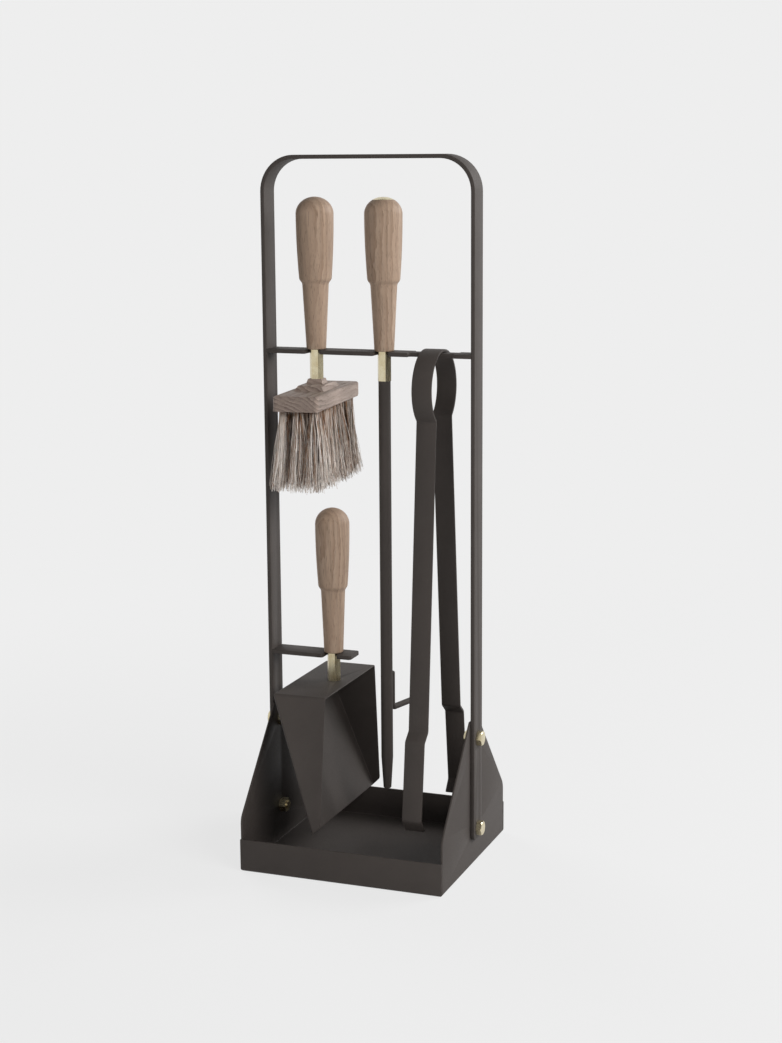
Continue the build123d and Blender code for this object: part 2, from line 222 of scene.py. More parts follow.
class HearthWoodSettings(bpy.types.PropertyGroup):
    """Wood of the handles and of the brush block"""

    pale: colour("Pale", "Colour of the early wood", (0.35, 0.256, 0.187))
    dark: colour("Dark", "Colour of the late wood", (0.245, 0.163, 0.111))
    ring: distance("Ring", "Distance between the year rings of the handles", 0.0058)
    block_pale: colour("Block pale", "Early wood of the brush block", (0.40, 0.318, 0.27))
    block_dark: colour("Block dark", "Late wood of the brush block", (0.165, 0.117, 0.095))
    block_ring: distance("Block ring", "Distance between the year rings of the block", 0.0034)


class HearthBrushSettings(bpy.types.PropertyGroup):
    """Bristles of the brush"""

    columns: count("Columns", "Tufts across the block", 3)
    rows: count("Rows", "Tufts along the block", 7)
    locks: count("Locks", "Locks in a tuft", 9)
    strands: count("Strands", "Strands in a lock", 15)
    width: distance("Width", "Width of the block", 0.0455)
    length: distance("Length", "Length of the block", 0.140)
    corner: distance("Corner", "Radius of the block's upright corners", 0.004)
    turn: angle("Turn", "Turn of the brush in its rail", 5)
    margin_x: distance("Side margin", "From the block's side to the middle of the first tuft", 0.0075)
    margin_y: distance("End margin", "From the block's end to the middle of the first tuft", 0.012)
    tuft: distance("Tuft", "Radius of a tuft at its root", 0.0042)
    flare: FloatVectorProperty(
        name="Flare",
        description="Lean of a tuft across and along the block, per metre from its middle",
        default=(0.30, 0.14),
        size=2,
    )
    thickness: distance("Thickness", "Radius of a strand", 0.00037)
    slice: distance("Slice", "Thickness of the backing that holds the tufts", 0.002)
    pale: colour("Pale", "Colour of the pale strands", (0.92, 0.865, 0.81))
    middle: colour("Middle", "Colour of most strands", (0.58, 0.49, 0.425))
    brown: colour("Brown", "Colour of the brown strands", (0.36, 0.195, 0.105))
    dark: colour("Dark", "Colour of the darkest strands", (0.09, 0.06, 0.045))


class HearthTongsSettings(bpy.types.PropertyGroup):
    """Spring strip of the tongs"""

    seam: distance("Seam", "Half the height in which the bow and a leg are joined at the neck", 0.0007)
    flex: distance("Flex", "Half the stretch of the strip that bends at the neck", 0.014)
    cuts: count("Cuts", "Cuts across the bending stretch", 12)


class HearthStageSettings(bpy.types.PropertyGroup):
    """Camera, floor and lamps"""

    eye: location("Eye", "Place of the camera", (0.6847, -1.7601, 0.7004))
    aim: location("Aim", "Point that the camera looks at", (0.01684, 0.00637, 0.3425))
    roll: angle("Roll", "Turn of the camera about its view", -0.392)
    lens: FloatProperty(name="Lens", description="Focal length on a 36 mm wide frame", default=89.36, min=1)
    backdrop: colour("Backdrop", "Colour of the floor and the background", (0.855, 0.855, 0.855))
    ambient: amount("Ambient", "Strength of the light from all round", 0.03)
    key: amount("Key", "Power of the lamp behind on the right", 42.0)
    side: amount("Side", "Power of the lamp in front on the right", 50.0)
    fill: amount("Fill", "Power of the lamp in front", 17.0)
    rear: amount("Rear", "Power of the lamp behind on the left", 48.0)
    near: distance("Near", "Reach of the floor that shows the whole shadow", 0.35)
    far: distance("Far", "Distance at which the floor melts into the background", 1.5)


class HearthSettings(bpy.types.PropertyGroup):
    """All settings of the tool set"""

    coat: PointerProperty(type=HearthCoatSettings)
    brass: PointerProperty(type=HearthBrassSettings)
    wood: PointerProperty(type=HearthWoodSettings)
    brush: PointerProperty(type=HearthBrushSettings)
    tongs: PointerProperty(type=HearthTongsSettings)
    stage: PointerProperty(type=HearthStageSettings)


# Shader helpers


def new_group(name, inputs, outputs):
    """An empty shader group with float or vector sockets, and its two end nodes."""
    group = bpy.data.node_groups.new(name, "ShaderNodeTree")
    for socket, kind, value in inputs:
        made = group.interface.new_socket(name=socket, in_out="INPUT", socket_type=kind)
        if value is not None:
            made.default_value = value
    for socket in outputs:
        group.interface.new_socket(name=socket, in_out="OUTPUT", socket_type="NodeSocketFloat")
    start = group.nodes.new("NodeGroupInput")
    end = group.nodes.new("NodeGroupOutput")
    start.location = (-900, 0)
    end.location = (700, 0)
    return group, start, end


def add_node(tree, kind, place, settings=None, inputs=None):
    """A node at its place in the editor, with its settings and its unlinked inputs."""
    node = tree.nodes.new(kind)
    node.location = place
    for name, value in (settings or {}).items():
        setattr(node, name, value)
    for name, value in (inputs or {}).items():
        node.inputs[name].default_value = value
    return node


def feed(tree, socket, value):
    """A socket's value: another socket, or a plain number or colour."""
    if isinstance(value, bpy.types.NodeSocket):
        tree.links.new(value, socket)
    else:
        socket.default_value = value


def add_math(tree, operation, place, first, second=0.0):
    """A maths node on sockets or numbers, and its result."""
    node = add_node(tree, "ShaderNodeMath", place, {"operation": operation})
    feed(tree, node.inputs[0], first)
    feed(tree, node.inputs[1], second)
    return node.outputs[0]


def add_mix(tree, blend, place, factor, first, second):
    """A mix of two colours, each a socket or a plain colour, and its result."""
    node = add_node(tree, "ShaderNodeMix", place, {"data_type": "RGBA", "blend_type": blend})
    for index, value in zip(MIX_INPUTS, (factor, first, second)):
        feed(tree, node.inputs[index], value)
    return node.outputs[MIX_RESULT]


def stretched(tree, vector, place, scale):
    """The vector with each axis multiplied by its own number."""
    node = add_node(tree, "ShaderNodeVectorMath", place, {"operation": "MULTIPLY"})
    tree.links.new(vector, node.inputs[0])
    node.inputs[1].default_value = scale
    return node.outputs[0]


def add_noise(tree, vector, place, scale, detail, roughness):
    """Noise over the vector: a number or a socket sets its scale."""
    node = add_node(tree, "ShaderNodeTexNoise", place, None, {"Detail": detail, "Roughness": roughness})
    tree.links.new(vector, node.inputs["Vector"])
    feed(tree, node.inputs["Scale"], scale)
    return node.outputs[0]


def add_ramp(tree, factor, place, stops):
    """A colour ramp over the factor, with its stops as position and colour."""
    node = add_node(tree, "ShaderNodeValToRGB", place)
    elements = node.color_ramp.elements
    while len(elements) < len(stops):
        elements.new(0.5)
    for element, (position, shade) in zip(elements, stops):
        element.position = position
        element.color = (*shade, 1.0)
    tree.links.new(factor, node.inputs["Fac"])
    return node.outputs["Color"]


def grey(value):
    """A grey of that linear value."""
    return (value, value, value)


def scaled(shade, factor):
    """A colour made lighter or darker."""
    return tuple(min(1.0, factor * channel) for channel in shade)


def grain_group(name):
    """Fine texture and cloudy tone of a powder coat."""
    group, start, end = new_group(
        name,
        [("Vector", "NodeSocketVector", None), ("Size", "NodeSocketFloat", 0.001)],
        ("Cloud", "Grain"),
    )
    vector = start.outputs["Vector"]
    fine = add_math(group, "DIVIDE", (-650, -150), 1.0, start.outputs["Size"])
    cloud = add_noise(group, vector, (-400, 150), 22.0, detail=3.0, roughness=0.6)
    grain = add_noise(group, vector, (-400, -150), fine, detail=1.0, roughness=0.4)
    group.links.new(cloud, end.inputs["Cloud"])
    group.links.new(grain, end.inputs["Grain"])
    return group


def wood_group(name):
    """Year rings, streaks and pores of wood that grows along the vector's third axis."""
    group, start, end = new_group(
        name,
        [
            ("Vector", "NodeSocketVector", None),
            ("Ring", "NodeSocketFloat", 0.004),
            ("Wander", "NodeSocketFloat", 0.006),
        ],
        ("Rings", "Fade", "Streaks", "Pores"),
    )
    vector = start.outputs["Vector"]
    slow = stretched(group, vector, (-700, 300), (1.0, 1.0, 0.22))
    sway = add_noise(group, slow, (-500, 300), 16.0, detail=2.0, roughness=0.55)
    centred = add_math(group, "SUBTRACT", (-320, 300), sway, 0.5)
    drift = add_math(group, "MULTIPLY", (-160, 300), centred, start.outputs["Wander"])
    quick = stretched(group, vector, (-700, 480), (1.0, 1.0, 0.3))
    lively = add_noise(group, quick, (-500, 480), 150.0, detail=2.0, roughness=0.6)
    ripple = add_math(group, "SUBTRACT", (-320, 480), lively, 0.5)
    waver = add_math(group, "MULTIPLY", (-160, 480), ripple, start.outputs["Ring"])
    fading = stretched(group, vector, (-700, 660), (1.0, 1.0, 0.2))
    fade = add_noise(group, fading, (-500, 660), 75.0, detail=2.0, roughness=0.5)
    group.links.new(fade, end.inputs["Fade"])
    split = add_node(group, "ShaderNodeSeparateXYZ", (-700, 60))
    group.links.new(vector, split.inputs[0])
    across = add_math(group, "POWER", (-520, 90), split.outputs["X"], 2.0)
    along = add_math(group, "POWER", (-520, -60), split.outputs["Y"], 2.0)
    radius = add_math(group, "SQRT", (-200, 20), add_math(group, "ADD", (-360, 20), across, along))
    drifted = add_math(group, "ADD", (-40, 120), radius, drift)
    moved = add_math(group, "ADD", (0, 160), drifted, waver)
    turns = add_math(group, "DIVIDE", (120, 120), moved, start.outputs["Ring"])
    rings = add_math(group, "FRACT", (280, 120), turns)
    group.links.new(rings, end.inputs["Rings"])
    streaked = stretched(group, vector, (-700, -200), (1.0, 1.0, 0.035))
    streaks = add_noise(group, streaked, (-480, -200), 340.0, detail=3.0, roughness=0.6)
    group.links.new(streaks, end.inputs["Streaks"])
    pored = stretched(group, vector, (-700, -400), (1.0, 1.0, 0.09))
    pores = add_noise(group, pored, (-480, -400), 1300.0, detail=1.0, roughness=0.5)
    group.links.new(pores, end.inputs["Pores"])
    return group


def brushed_group(name):
    """Fine lines of brushing that run along the vector's third axis, and a faint tarnish."""
    group, start, end = new_group(name, [("Vector", "NodeSocketVector", None)], ("Lines", "Tarnish"))
    vector = start.outputs["Vector"]
    drawn = stretched(group, vector, (-650, 150), (1.0, 1.0, 0.02))
    lines = add_noise(group, drawn, (-420, 150), 2600.0, detail=2.0, roughness=0.6)
    tarnish = add_noise(group, vector, (-420, -150), 130.0, detail=3.0, roughness=0.6)
    group.links.new(lines, end.inputs["Lines"])
    group.links.new(tarnish, end.inputs["Tarnish"])
    return group


def shared_group(name, maker):
    """The group of that name, made the first time that a material asks for it."""
    return bpy.data.node_groups.get(name) or maker(name)


def new_material(name):
    """A material with its tree, its shader and the object's coordinates."""
    material = bpy.data.materials.new(name)
    material.use_nodes = True
    tree = material.node_tree
    shader = tree.nodes["Principled BSDF"]
    shader.location = (500, 0)
    tree.nodes["Material Output"].location = (800, 0)
    coordinates = add_node(tree, "ShaderNodeTexCoord", (-1300, 0))
    return material, tree, shader, coordinates.outputs["Object"]


def use_group(tree, group, place, vector):
    """A group placed in a material, on that vector."""
    node = add_node(tree, "ShaderNodeGroup", place, {"node_tree": group})
    tree.links.new(vector, node.inputs["Vector"])
    return node


def add_bump(tree, shader, height, strength, depth):
    """Relief from a height, on the shader's normal."""
    bump = add_node(tree, "ShaderNodeBump", (250, -350), None, {"Strength": strength, "Distance": depth})
    tree.links.new(height, bump.inputs["Height"])
    tree.links.new(bump.outputs["Normal"], shader.inputs["Normal"])


def coat_material(name, settings):
    """Dark satin powder coat with a fine grain."""
    material, tree, shader, vector = new_material(name)
    grain = use_group(tree, shared_group("coat_grain", grain_group), (-900, 0), vector)
    grain.inputs["Size"].default_value = settings.grain
    tone = tuple(settings.tone)
    shade = add_ramp(
        tree, grain.outputs["Cloud"], (-500, 200), [(0.25, scaled(tone, 0.9)), (0.75, scaled(tone, 1.1))]
    )
    tree.links.new(shade, shader.inputs["Base Color"])
    low = settings.roughness - COAT_UNEVEN
    high = settings.roughness + COAT_UNEVEN
    matt = add_ramp(tree, grain.outputs["Grain"], (-500, -100), [(0.3, grey(low)), (0.7, grey(high))])
    tree.links.new(matt, shader.inputs["Roughness"])
    shader.inputs["Specular IOR Level"].default_value = 0.3
    add_bump(tree, shader, grain.outputs["Grain"], strength=0.08, depth=0.0002)
    return material


def brass_material(name, settings):
    """Brushed brass with a faint tarnish."""
    material, tree, shader, vector = new_material(name)
    lines = use_group(tree, shared_group("brushed_lines", brushed_group), (-900, 0), vector)
    tone = tuple(settings.tone)
    dull = (0.82 * tone[0], 0.76 * tone[1], 0.66 * tone[2])
    shade = add_ramp(tree, lines.outputs["Tarnish"], (-500, 200), [(0.3, dull), (0.62, tone)])
    tree.links.new(shade, shader.inputs["Base Color"])
    matt = add_ramp(
        tree,
        lines.outputs["Lines"],
        (-500, -100),
        [(0.25, grey(settings.roughness - 0.08)), (0.75, grey(settings.roughness + 0.1))],
    )
    tree.links.new(matt, shader.inputs["Roughness"])
    shader.inputs["Metallic"].default_value = 1.0
    add_bump(tree, shader, lines.outputs["Lines"], strength=0.08, depth=0.0001)
    return material


def end_grain(tree, vector, axis, middle, reach, shade):
    """One along the piece, and the shade of its end grain close to either end of that axis."""
    along = add_node(tree, "ShaderNodeVectorMath", (-560, -460), {"operation": "DOT_PRODUCT"})
    along.inputs[1].default_value = axis
    tree.links.new(vector, along.inputs[0])
    centred = add_math(tree, "SUBTRACT", (-400, -460), along.outputs["Value"], middle)
    away = add_math(tree, "ABSOLUTE", (-240, -460), centred)
    near = add_node(tree, "ShaderNodeMapRange", (-80, -460))
    near.inputs["From Min"].default_value = reach - END_GRAIN_START
    near.inputs["From Max"].default_value = reach - END_GRAIN_FULL
    near.inputs["To Min"].default_value = 1.0
    near.inputs["To Max"].default_value = shade
    tree.links.new(away, near.inputs["Value"])
    return near.outputs["Result"]


def wood_material(name, pale, dark, ring, wander, turn, heart, ends=None):
    """Oiled wood: the grain is turned, the heart lies off the piece and ends may have their own shade."""
    material, tree, shader, vector = new_material(name)
    mapping = add_node(tree, "ShaderNodeMapping", (-1100, 0), {"vector_type": "POINT"})
    mapping.inputs["Location"].default_value = heart
    mapping.inputs["Rotation"].default_value = turn
    tree.links.new(vector, mapping.inputs["Vector"])
    grain = use_group(tree, shared_group("wood_grain", wood_group), (-900, 0), mapping.outputs["Vector"])
    grain.inputs["Ring"].default_value = ring
    grain.inputs["Wander"].default_value = wander
    middle = tuple(MIDDLE_PALE * a + MIDDLE_DARK * b for a, b in zip(pale, dark))
    rings = add_ramp(
        tree, grain.outputs["Rings"], (-560, 260), [(0.0, pale), (0.5, middle), (0.88, dark), (1.0, pale)]
    )
    streaks = add_ramp(
        tree,
        grain.outputs["Streaks"],
        (-560, 20),
        [(0.3, grey(0.78)), (0.5, grey(0.96)), (0.72, grey(1.06))],
    )
    pores = add_ramp(tree, grain.outputs["Pores"], (-560, -220), [(0.3, grey(0.55)), (0.4, grey(1.0))])
    fade = add_ramp(tree, grain.outputs["Fade"], (-560, 480), [(0.36, grey(0.2)), (0.62, grey(1.0))])
    banded = add_mix(tree, "MIX", (-300, 380), fade, (*middle, 1.0), rings)
    streaky = add_mix(tree, "MULTIPLY", (-220, 200), 0.85, banded, streaks)
    finished = add_mix(tree, "MULTIPLY", (0, 150), 0.6, streaky, pores)
    if ends:
        finished = add_mix(
            tree, "MULTIPLY", (200, 150), 1.0, finished, end_grain(tree, vector, *ends)
        )
    tree.links.new(finished, shader.inputs["Base Color"])
    matt = add_ramp(tree, grain.outputs["Pores"], (-220, -120), [(0.3, grey(0.74)), (0.45, grey(0.52))])
    tree.links.new(matt, shader.inputs["Roughness"])
    shader.inputs["Specular IOR Level"].default_value = 0.35
    add_bump(tree, shader, grain.outputs["Pores"], strength=0.18, depth=0.0002)
    return material


def bristle_material(name, settings):
    """Plant fibre: each strand has its own tone, darkened towards its root by a painted shade where the
    tufts shadow each other.
    """
    material, tree, shader, vector = new_material(name)
    # The attribute holds each strand's own tone times the painted shade at its root
    own = add_node(tree, "ShaderNodeAttribute", (-900, 200), {"attribute_name": "strand_shade"})
    shade = add_ramp(
        tree,
        own.outputs["Fac"],
        (-600, 200),
        [
            (0.05, tuple(settings.dark)),
            (0.2, tuple(settings.brown)),
            (0.4, tuple(settings.middle)),
            (0.9, tuple(settings.pale)),
        ],
    )
    drawn = stretched(tree, vector, (-900, -100), (1.0, 1.0, 0.15))
    mottle = add_noise(tree, drawn, (-700, -100), 700.0, detail=2.0, roughness=0.6)
    soft = add_ramp(tree, mottle, (-450, -100), [(0.3, grey(0.78)), (0.7, grey(1.1))])
    tinted = add_mix(tree, "MULTIPLY", (-100, 150), 0.8, shade, soft)
    tree.links.new(tinted, shader.inputs["Base Color"])
    shader.inputs["Roughness"].default_value = 0.7
    shader.inputs["Specular IOR Level"].default_value = 0.25
    return material


def screw_material(name):
    """Dark plated steel."""
    material, tree, shader, vector = new_material(name)
    lines = use_group(tree, shared_group("brushed_lines", brushed_group), (-900, 0), vector)
    shade = add_ramp(
        tree, lines.outputs["Tarnish"], (-500, 200), [(0.3, (0.22, 0.21, 0.2)), (0.7, (0.34, 0.33, 0.32))]
    )
    tree.links.new(shade, shader.inputs["Base Color"])
    matt = add_ramp(tree, lines.outputs["Lines"], (-500, -100), [(0.3, grey(0.34)), (0.7, grey(0.48))])
    tree.links.new(matt, shader.inputs["Roughness"])
    shader.inputs["Metallic"].default_value = 1.0
    return material


# Modelling helpers


def dress(piece, material):
    """The material in the piece's first and only slot."""
    piece.data.materials.clear()
    piece.data.materials.append(material)


def dress_nodes(names, material):
    """The material on CAD nodes that stay as they are."""
    for name in names:
        dress(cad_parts[name], material)


def made_material(name, maker, *values):
    """The material of that name, made the first time that a piece asks for it."""
    return bpy.data.materials.get(name) or maker(name, *values)


def deselect():
    """Nothing selected, and no mesh open for editing."""
    if bpy.context.object and bpy.context.object.mode != "OBJECT":
        bpy.ops.object.mode_set(mode="OBJECT")
    bpy.ops.object.select_all(action="DESELECT")


def make_active(piece):
    """The piece alone selected and active."""
    deselect()
    piece.select_set(True)
    bpy.context.view_layer.objects.active = piece


def select_faces(piece, chosen):
    """In edit mode, selects the faces that the test picks."""
    shape = bmesh.from_edit_mesh(piece.data)
    for face in shape.faces:
        face.select = chosen(face)
    shape.select_flush_mode()
    bmesh.update_edit_mesh(piece.data)


def select_edges(piece, chosen):
    """In edit mode, selects the edges that the test picks."""
    shape = bmesh.from_edit_mesh(piece.data)
    for part in (shape.verts, shape.edges, shape.faces):
        for element in part:
            element.select = False
    for edge in shape.edges:
        if chosen(edge):
            edge.select = True
    bmesh.update_edit_mesh(piece.data)


def select_vertices(piece, chosen):
    """In edit mode, selects the vertices that the test picks."""
    shape = bmesh.from_edit_mesh(piece.data)
    for vertex in shape.verts:
        vertex.select = chosen(vertex)
    shape.select_flush_mode()
    bmesh.update_edit_mesh(piece.data)


def settle(piece):
    """Leaves the piece's place in its mesh, with the object at the origin."""
    make_active(piece)
    bpy.ops.object.transform_apply(location=True, rotation=True, scale=True)


def merged_copy(nodes, name):
    """One editable mesh from copies of CAD nodes, with their doubled corners merged."""
    deselect()
    copies = []
    for node in nodes:
        copied = bpy.data.objects.new(name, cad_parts[node].data.copy())
        bpy.context.collection.objects.link(copied)
        copies.append(copied)
    for copied in copies:
        copied.select_set(True)
    bpy.context.view_layer.objects.active = copies[0]
    if len(copies) > 1:
        bpy.ops.object.join()
    piece = bpy.context.view_layer.objects.active
    make_active(piece)
    bpy.ops.object.mode_set(mode="EDIT")
    bpy.ops.mesh.select_all(action="SELECT")
    bpy.ops.mesh.remove_doubles(threshold=SAME_PLACE)
    bpy.ops.object.mode_set(mode="OBJECT")
    return piece


def ease_edges(piece, width):
    """Flat faces made whole again, and every sharp edge rounded a little, as under a coat."""
    make_active(piece)
    bpy.ops.object.mode_set(mode="EDIT")
    bpy.ops.mesh.select_all(action="SELECT")
    bpy.ops.mesh.dissolve_limited(angle_limit=FLAT_ANGLE)
    bpy.ops.object.mode_set(mode="OBJECT")
    ease = piece.modifiers.new("eased_edges", "BEVEL")
    ease.width = width
    ease.segments = 2
    ease.limit_method = "ANGLE"
    ease.angle_limit = SHARP_ANGLE
    ease.use_clamp_overlap = False
    bpy.ops.object.modifier_apply(modifier=ease.name)
    bpy.ops.object.shade_smooth_by_angle(angle=SMOOTH_ANGLE)


# Operators


class HEARTH_OT_coated_steel(bpy.types.Operator):
    """Powder coat on the steel, and eased edges on the tray, hoop, rails and pan"""

    bl_idname = "hearth.coated_steel"
    bl_label = "Coated steel"
    bl_options = {"REGISTER", "UNDO"}

    def execute(self, context):
        settings = context.scene.hearth.coat
        coat = made_material("powder_coat", coat_material, settings)
        dress_nodes(COATED_NODES, coat)
        for body, nodes in EASED_NODES.items():
            for node in nodes:
                piece = merged_copy((node,), f"{node}_coated")
                ease_edges(piece, settings.edge)
                dress(piece, coat)
                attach(piece, body)
                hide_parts(node)
        return {"FINISHED"}


class HEARTH_OT_brass_fittings(bpy.types.Operator):
    """Brass on the necks, mouthpiece, bolts and nuts, and plating on the pan's screw"""

    bl_idname = "hearth.brass_fittings"
    bl_label = "Brass fittings"
    bl_options = {"REGISTER", "UNDO"}

    def execute(self, context):
        brass = made_material("brushed_brass", brass_material, context.scene.hearth.brass)
        dress_nodes(BRASS_NODES, brass)
        dress_nodes(("shovel_screw",), made_material("plated_steel", screw_material))
        return {"FINISHED"}


class HEARTH_OT_wooden_parts(bpy.types.Operator):
    """Wood on the three handles and the brush block"""

    bl_idname = "hearth.wooden_parts"
    bl_label = "Wooden parts"
    bl_options = {"REGISTER", "UNDO"}

    def execute(self, context):
        wood = context.scene.hearth.wood
        handle = made_material(
            "oiled_handle",
            wood_material,
            tuple(wood.pale),
            tuple(wood.dark),
            wood.ring,
            HANDLE_WANDER,
            HANDLE_TILT,
            HANDLE_HEART,
        )
        dress_nodes(HANDLE_NODES, handle)
        brush = context.scene.hearth.brush
        low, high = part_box("brush_block")
        axis = Vector((-math.sin(brush.turn), math.cos(brush.turn), 0.0))
        block = made_material(
            "oiled_block",
            wood_material,
            tuple(wood.block_pale),
            tuple(wood.block_dark),
            wood.block_ring,
            BLOCK_WANDER,
            (math.radians(90), brush.turn, 0.0),
            BLOCK_HEART,
            (axis, axis.dot((low + high) / 2), brush.length / 2, BLOCK_END_SHADE),
        )
        dress_nodes(("brush_block",), block)
        return {"FINISHED"}


class HEARTH_OT_brush_bristles(bpy.types.Operator):
    """Tufts of long loose strands in a slice of the block"""

    bl_idname = "hearth.brush_bristles"
    bl_label = "Brush bristles"
    bl_options = {"REGISTER", "UNDO"}

    def backing(self, settings, middle):
        """Wooden slice that the tufts are set in, with eased edges."""
        deselect()
        bpy.ops.mesh.primitive_cube_add(
            size=1.0,
            location=middle,
            rotation=(0.0, 0.0, settings.turn),
            scale=(settings.width, settings.length, settings.slice),
        )
        slab = bpy.context.object
        slab.name = "brush_backing"
        settle(slab)
        bpy.ops.object.mode_set(mode="EDIT")
        select_edges(slab, lambda edge: abs(edge.verts[0].co.z - edge.verts[1].co.z) > settings.slice / 2)
        bpy.ops.mesh.bevel(offset=settings.corner, segments=6)
        select_edges(slab, lambda edge: max(v.co.z for v in edge.verts) < middle.z)
        bpy.ops.mesh.bevel(offset=settings.slice / 2, segments=3)
        bpy.ops.object.mode_set(mode="OBJECT")
        bpy.ops.object.shade_smooth_by_angle(angle=SMOOTH_ANGLE)
        return slab

    def pattern(self):
        """One three-sided strand of unit length and thickness that hangs from the origin."""
        deselect()
        bpy.ops.mesh.primitive_cylinder_add(
            vertices=3, radius=1.0, depth=1.0, location=(0, 0, -0.5), end_fill_type="NGON"
        )
        strand = bpy.context.object
        settle(strand)
        bpy.ops.object.mode_set(mode="EDIT")
        select_edges(strand, lambda edge: abs(edge.verts[0].co.z - edge.verts[1].co.z) > 0.5)
        bpy.ops.mesh.subdivide(number_cuts=STRAND_CUTS)
        bpy.ops.object.mode_set(mode="OBJECT")
        corners = [vertex.co.copy() for vertex in strand.data.vertices]
        faces = [tuple(polygon.vertices) for polygon in strand.data.polygons]
        bpy.data.objects.remove(strand, do_unlink=True)
        return corners, faces

    def tufts(self, settings):
        """Middle of each tuft across and along the block."""
        pitch_x = (settings.width - 2 * settings.margin_x) / max(1, settings.columns - 1)
        pitch_y = (settings.length - 2 * settings.margin_y) / max(1, settings.rows - 1)
        for column in range(settings.columns):
            for row in range(settings.rows):
                across = (column - (settings.columns - 1) / 2) * pitch_x
                along = (row - (settings.rows - 1) / 2) * pitch_y
                yield across, along

    def lock(self, chance, settings, tuft, index):
        """Where a lock of strands grows, how it leans and bows, and how pale it is."""
        away = LOCK_REACH * settings.tuft * math.sqrt((index + 0.5) / settings.locks)
        spot = index * GOLDEN_ANGLE + chance.uniform(0, LOCK_JITTER)
        place = (away * math.cos(spot), away * math.sin(spot))
        lean = [
            settings.flare[axis] * tuft[axis] + LOCK_SPLAY * place[axis] + chance.gauss(0, LOCK_LEAN)
            for axis in (0, 1)
        ]
        bow = [chance.gauss(0, LOCK_BOW) for axis in (0, 1)]
        return place, lean, bow, chance.gauss(LOCK_SHADE, LOCK_SHADE_SPREAD)

    def strand_points(self, corners, chance, settings, tuft, lock, reach):
        """Corners of one strand: it follows its lock, sways a little and tapers."""
        span = reach * (1.0 - STRAND_SHORTER * chance.random() ** STRAND_SHORTER_POWER)
        spread = STRAND_SPREAD * settings.tuft * math.sqrt(chance.random())
        turn = chance.uniform(0, math.tau)
        own = (spread * math.cos(turn), spread * math.sin(turn))
        lock_place, lock_lean, lock_bow, _ = lock
        place = [lock_place[axis] + own[axis] for axis in (0, 1)]
        lean = [
            lock_lean[axis] + STRAND_SPLAY * own[axis] + chance.gauss(0, STRAND_LEAN) for axis in (0, 1)
        ]
        bow = [lock_bow[axis] + chance.gauss(0, STRAND_BOW) for axis in (0, 1)]
        crimp = [chance.gauss(0, STRAND_CRIMP) for axis in (0, 1)]
        phase = chance.uniform(0, math.tau)
        thick = settings.thickness * chance.uniform(*STRAND_GIRTH)
        points = []
        for corner in corners:
            down = -corner.z
            taper = thick * (1.0 - STRAND_TAPER * down)
            ripple = math.sin(phase + STRAND_WAVES * math.tau * down) * math.sqrt(down)
            swell = math.sin(math.pi * down)
            sides = [
                tuft[axis] + place[axis] + lean[axis] * down ** STRAND_CURVE
                + bow[axis] * swell + crimp[axis] * ripple + corner[axis] * taper
                for axis in (0, 1)
            ]
            points.append(Vector((*sides, -span * down)))
        return points

    def strands(self, settings, root, reach):
        """All strands as one mesh, each with its own tone and a painted shade towards its root."""
        corners, faces = self.pattern()
        chance = random.Random(SEED)
        turned = Matrix.Rotation(settings.turn, 3, "Z")
        # Painted shade: each strand darkens towards its root, standing in for the shadow between the tufts
        painted_root_shade = [1.0 - ROOT_PAINTED_SHADE * (1.0 + corner.z) ** ROOT_FADE_POWER for corner in corners]
        points, polygons, shades = [], [], []
        for tuft in self.tufts(settings):
            locks = [self.lock(chance, settings, tuft, index) for index in range(settings.locks)]
            for lock in locks * settings.strands:
                first = len(points)
                for point in self.strand_points(corners, chance, settings, tuft, lock, reach):
                    points.append(root + turned @ point)
                polygons += [tuple(first + corner for corner in face) for face in faces]
                shade = min(1.0, max(0.0, chance.gauss(lock[-1], STRAND_SHADE_SPREAD)))
                shades += [shade * light for light in painted_root_shade]
        mesh = bpy.data.meshes.new("brush_strands")
        mesh.from_pydata(points, [], polygons)
        own = mesh.attributes.new("strand_shade", "FLOAT", "POINT")
        own.data.foreach_set("value", shades)
        strands = bpy.data.objects.new("brush_strands", mesh)
        bpy.context.collection.objects.link(strands)
        make_active(strands)
        bpy.ops.object.shade_smooth()
        return strands

    def execute(self, context):
        settings = context.scene.hearth.brush
        low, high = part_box("brush_bristles")
        middle = Vector(((low.x + high.x) / 2, (low.y + high.y) / 2, high.z - settings.slice / 2))
        slab = self.backing(settings, middle)
        strands = self.strands(settings, middle, middle.z - low.z)
        dress(strands, made_material("bristle_fibre", bristle_material, settings))
        dress(slab, bpy.data.materials["oiled_block"])
        for piece, slot in ((strands, "bristle"), (slab, "block_wood")):
            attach(piece, "brush")
        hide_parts("brush_bristles")
        return {"FINISHED"}


